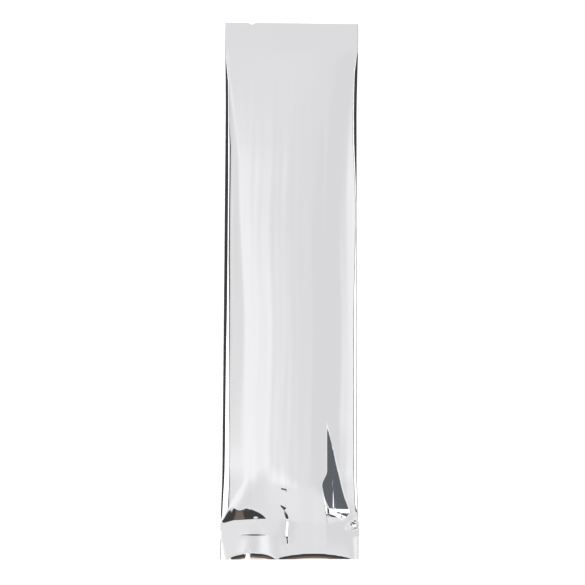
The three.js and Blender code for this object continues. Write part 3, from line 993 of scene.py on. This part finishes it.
# The ceiling, with patches that are brighter or in shade: what each adds, and the two angles that it
# comes in between
CEILING = 0.738
MIDDLE_PATCH = (0.03, 6, 2)
FRONT_MIDDLE_PATCH = (0.03, 8, 0)
LEFT_PATCH = (0.165, 0.5, -12)
RIGHT_PATCH = (0.2, 16, 31)
RIGHT_STRIP = (0.4, 32, 37)
FAR_LEFT_SHADE = (-0.23, -17, -33)
FRONT_MIDDLE_START = (-8, -2)
FRONT_CEILING = 0.82
FRONT_SHARE = 0.8
FRONT_START = (10, 22)

# The left patch and the shade are weaker towards the back of the tent, and towards its front the shade
# is nearly gone
BACK_END = (-17, -10)
LEFT_PATCH_BACK = 0.5
SHADE_BACK = 0.7
SHADE_FRONT = 0.15
SHADE_FRONT_START = (-8, -1)


def patch(angle, light, start, end):
    """What a patch adds: its light from end on, eased in from start."""
    return light * angle.ramp(start, end)


past_back = forward.ramp(*BACK_END)
shaded = mix(SHADE_BACK, 1, past_back) * mix(1, SHADE_FRONT, forward.ramp(*SHADE_FRONT_START))
ceiling = CEILING + patch(sideways, *MIDDLE_PATCH)
ceiling = ceiling + patch(sideways, *LEFT_PATCH) * mix(LEFT_PATCH_BACK, 1, past_back)
ceiling = ceiling + patch(sideways, *RIGHT_PATCH) + patch(sideways, *RIGHT_STRIP)
ceiling = ceiling + patch(sideways, *FRONT_MIDDLE_PATCH) * forward.ramp(*FRONT_MIDDLE_START)
ceiling = ceiling + patch(sideways, *FAR_LEFT_SHADE) * shaded
ceiling = mix(ceiling, FRONT_CEILING, FRONT_SHARE * forward.ramp(*FRONT_START))

# The walls, which reach further up at the right front corner, and a panel of cloth below the opening
WALLS = 1.7
WALLS_START = (48, 51)
CORNER_START = (33, 35)
CORNER_SIDE = (0.38, 0.45)
FRONT_SIDE = (0.6, 0.75)
FRONT_RIGHT = (-0.6, -0.45)
FRONT_PANEL = 0.85
PANEL_ANGLES = (57, 75)
PANEL_SIDE = (0.85, 0.95)
EDGE_SOFT = 1.0
past_corner = to_front.ramp(*CORNER_SIDE)
right_corner = sideways.ramp(*CORNER_START) * past_corner
bright = mix(ceiling, WALLS, polar.ramp(*WALLS_START).math("MAXIMUM", right_corner))
at_front = to_front.ramp(*FRONT_SIDE) * to_left.ramp(*FRONT_RIGHT)
front_panel = polar.band(*PANEL_ANGLES, EDGE_SOFT) * at_front * to_front.ramp(*PANEL_SIDE)
bright = mix(bright, FRONT_PANEL, front_panel)

# The dark places: a gap between ceiling and wall on either side, the foot of the walls, which starts a
# little lower at the front, and the opening, with some light in its lower part
DARK = 0.05
OPENING_GLOW = 0.09
OPENING_ANGLES = (36, 56)
GLOW_START = (45, 49)
LEFT_GAP_ANGLES = (-48, -39)
LEFT_SIDE = (0.5, 0.8)
RIGHT_GAP = 0.13
RIGHT_GAP_ANGLES = (34.5, 50)
RIGHT_SIDE = (-0.4, -0.7)
WALL_FOOT = (71.5, 74)
FRONT_FOOT = 3
left_gap = sideways.band(*LEFT_GAP_ANGLES, EDGE_SOFT) * to_left.ramp(*LEFT_SIDE)
right_gap = sideways.band(*RIGHT_GAP_ANGLES, EDGE_SOFT) * to_left.ramp(*RIGHT_SIDE) * (1 - past_corner)
foot = (polar - FRONT_FOOT * at_front).ramp(*WALL_FOOT)
opening = polar.band(*OPENING_ANGLES, EDGE_SOFT) * at_front
dark = left_gap.math("MAXIMUM", foot).math("MAXIMUM", opening)
light = mix(bright, DARK + OPENING_GLOW * opening * polar.ramp(*GLOW_START), dark)
light = mix(light, RIGHT_GAP, right_gap)

# White cloth, a warm light in the opening, a pinkish panel and a bluish gap
COOL_WHITE = (1, 1, 1.01, 1)
WARM_OPENING = (1.2, 1.0, 0.88, 1)
WARM_START = (40, 45)
PINK_PANEL = (1.0, 0.87, 0.83, 1)
BLUE_GAP = (0.93, 1.0, 1.1, 1)
tint = shader.blend(opening * polar.ramp(*WARM_START), COOL_WHITE, WARM_OPENING)
tint = shader.blend(front_panel, tint, PINK_PANEL)
tint = shader.blend(right_gap, tint, BLUE_GAP)
tinted = shader.node("VectorMath", {"operation": "SCALE"}, {0: tint, "Scale": light})
tent = shader.node("Background", {}, {"Color": tinted, "Strength": 1.0})
backdrop = shader.node("Background", {}, {"Color": WHITE, "Strength": 1.0})
seen = shader.node("LightPath", {}, {}, output="Is Camera Ray")
sky = shader.node("MixShader", {}, {0: seen, 1: tent, 2: backdrop})
shader.node("OutputWorld", {}, {"Surface": sky})

# A wide lamp over the tent evens out the table. The film doesn't mirror it.
LAMP_SIZE = 1.6
LAMP_HEIGHT = 1.5
LAMP_WATTS = 9
lamp_data = bpy.data.lights.new("overhead_lamp", "AREA")
lamp_data.shape = "DISK"
lamp_data.size = LAMP_SIZE
lamp_data.energy = LAMP_WATTS
lamp = bpy.data.objects.new("overhead_lamp", lamp_data)
lamp.location = (0, 0, LAMP_HEIGHT)
lamp.visible_glossy = False
lamp.visible_camera = False
bpy.context.scene.collection.objects.link(lamp)

bpy.context.scene.view_settings.view_transform = "Standard"
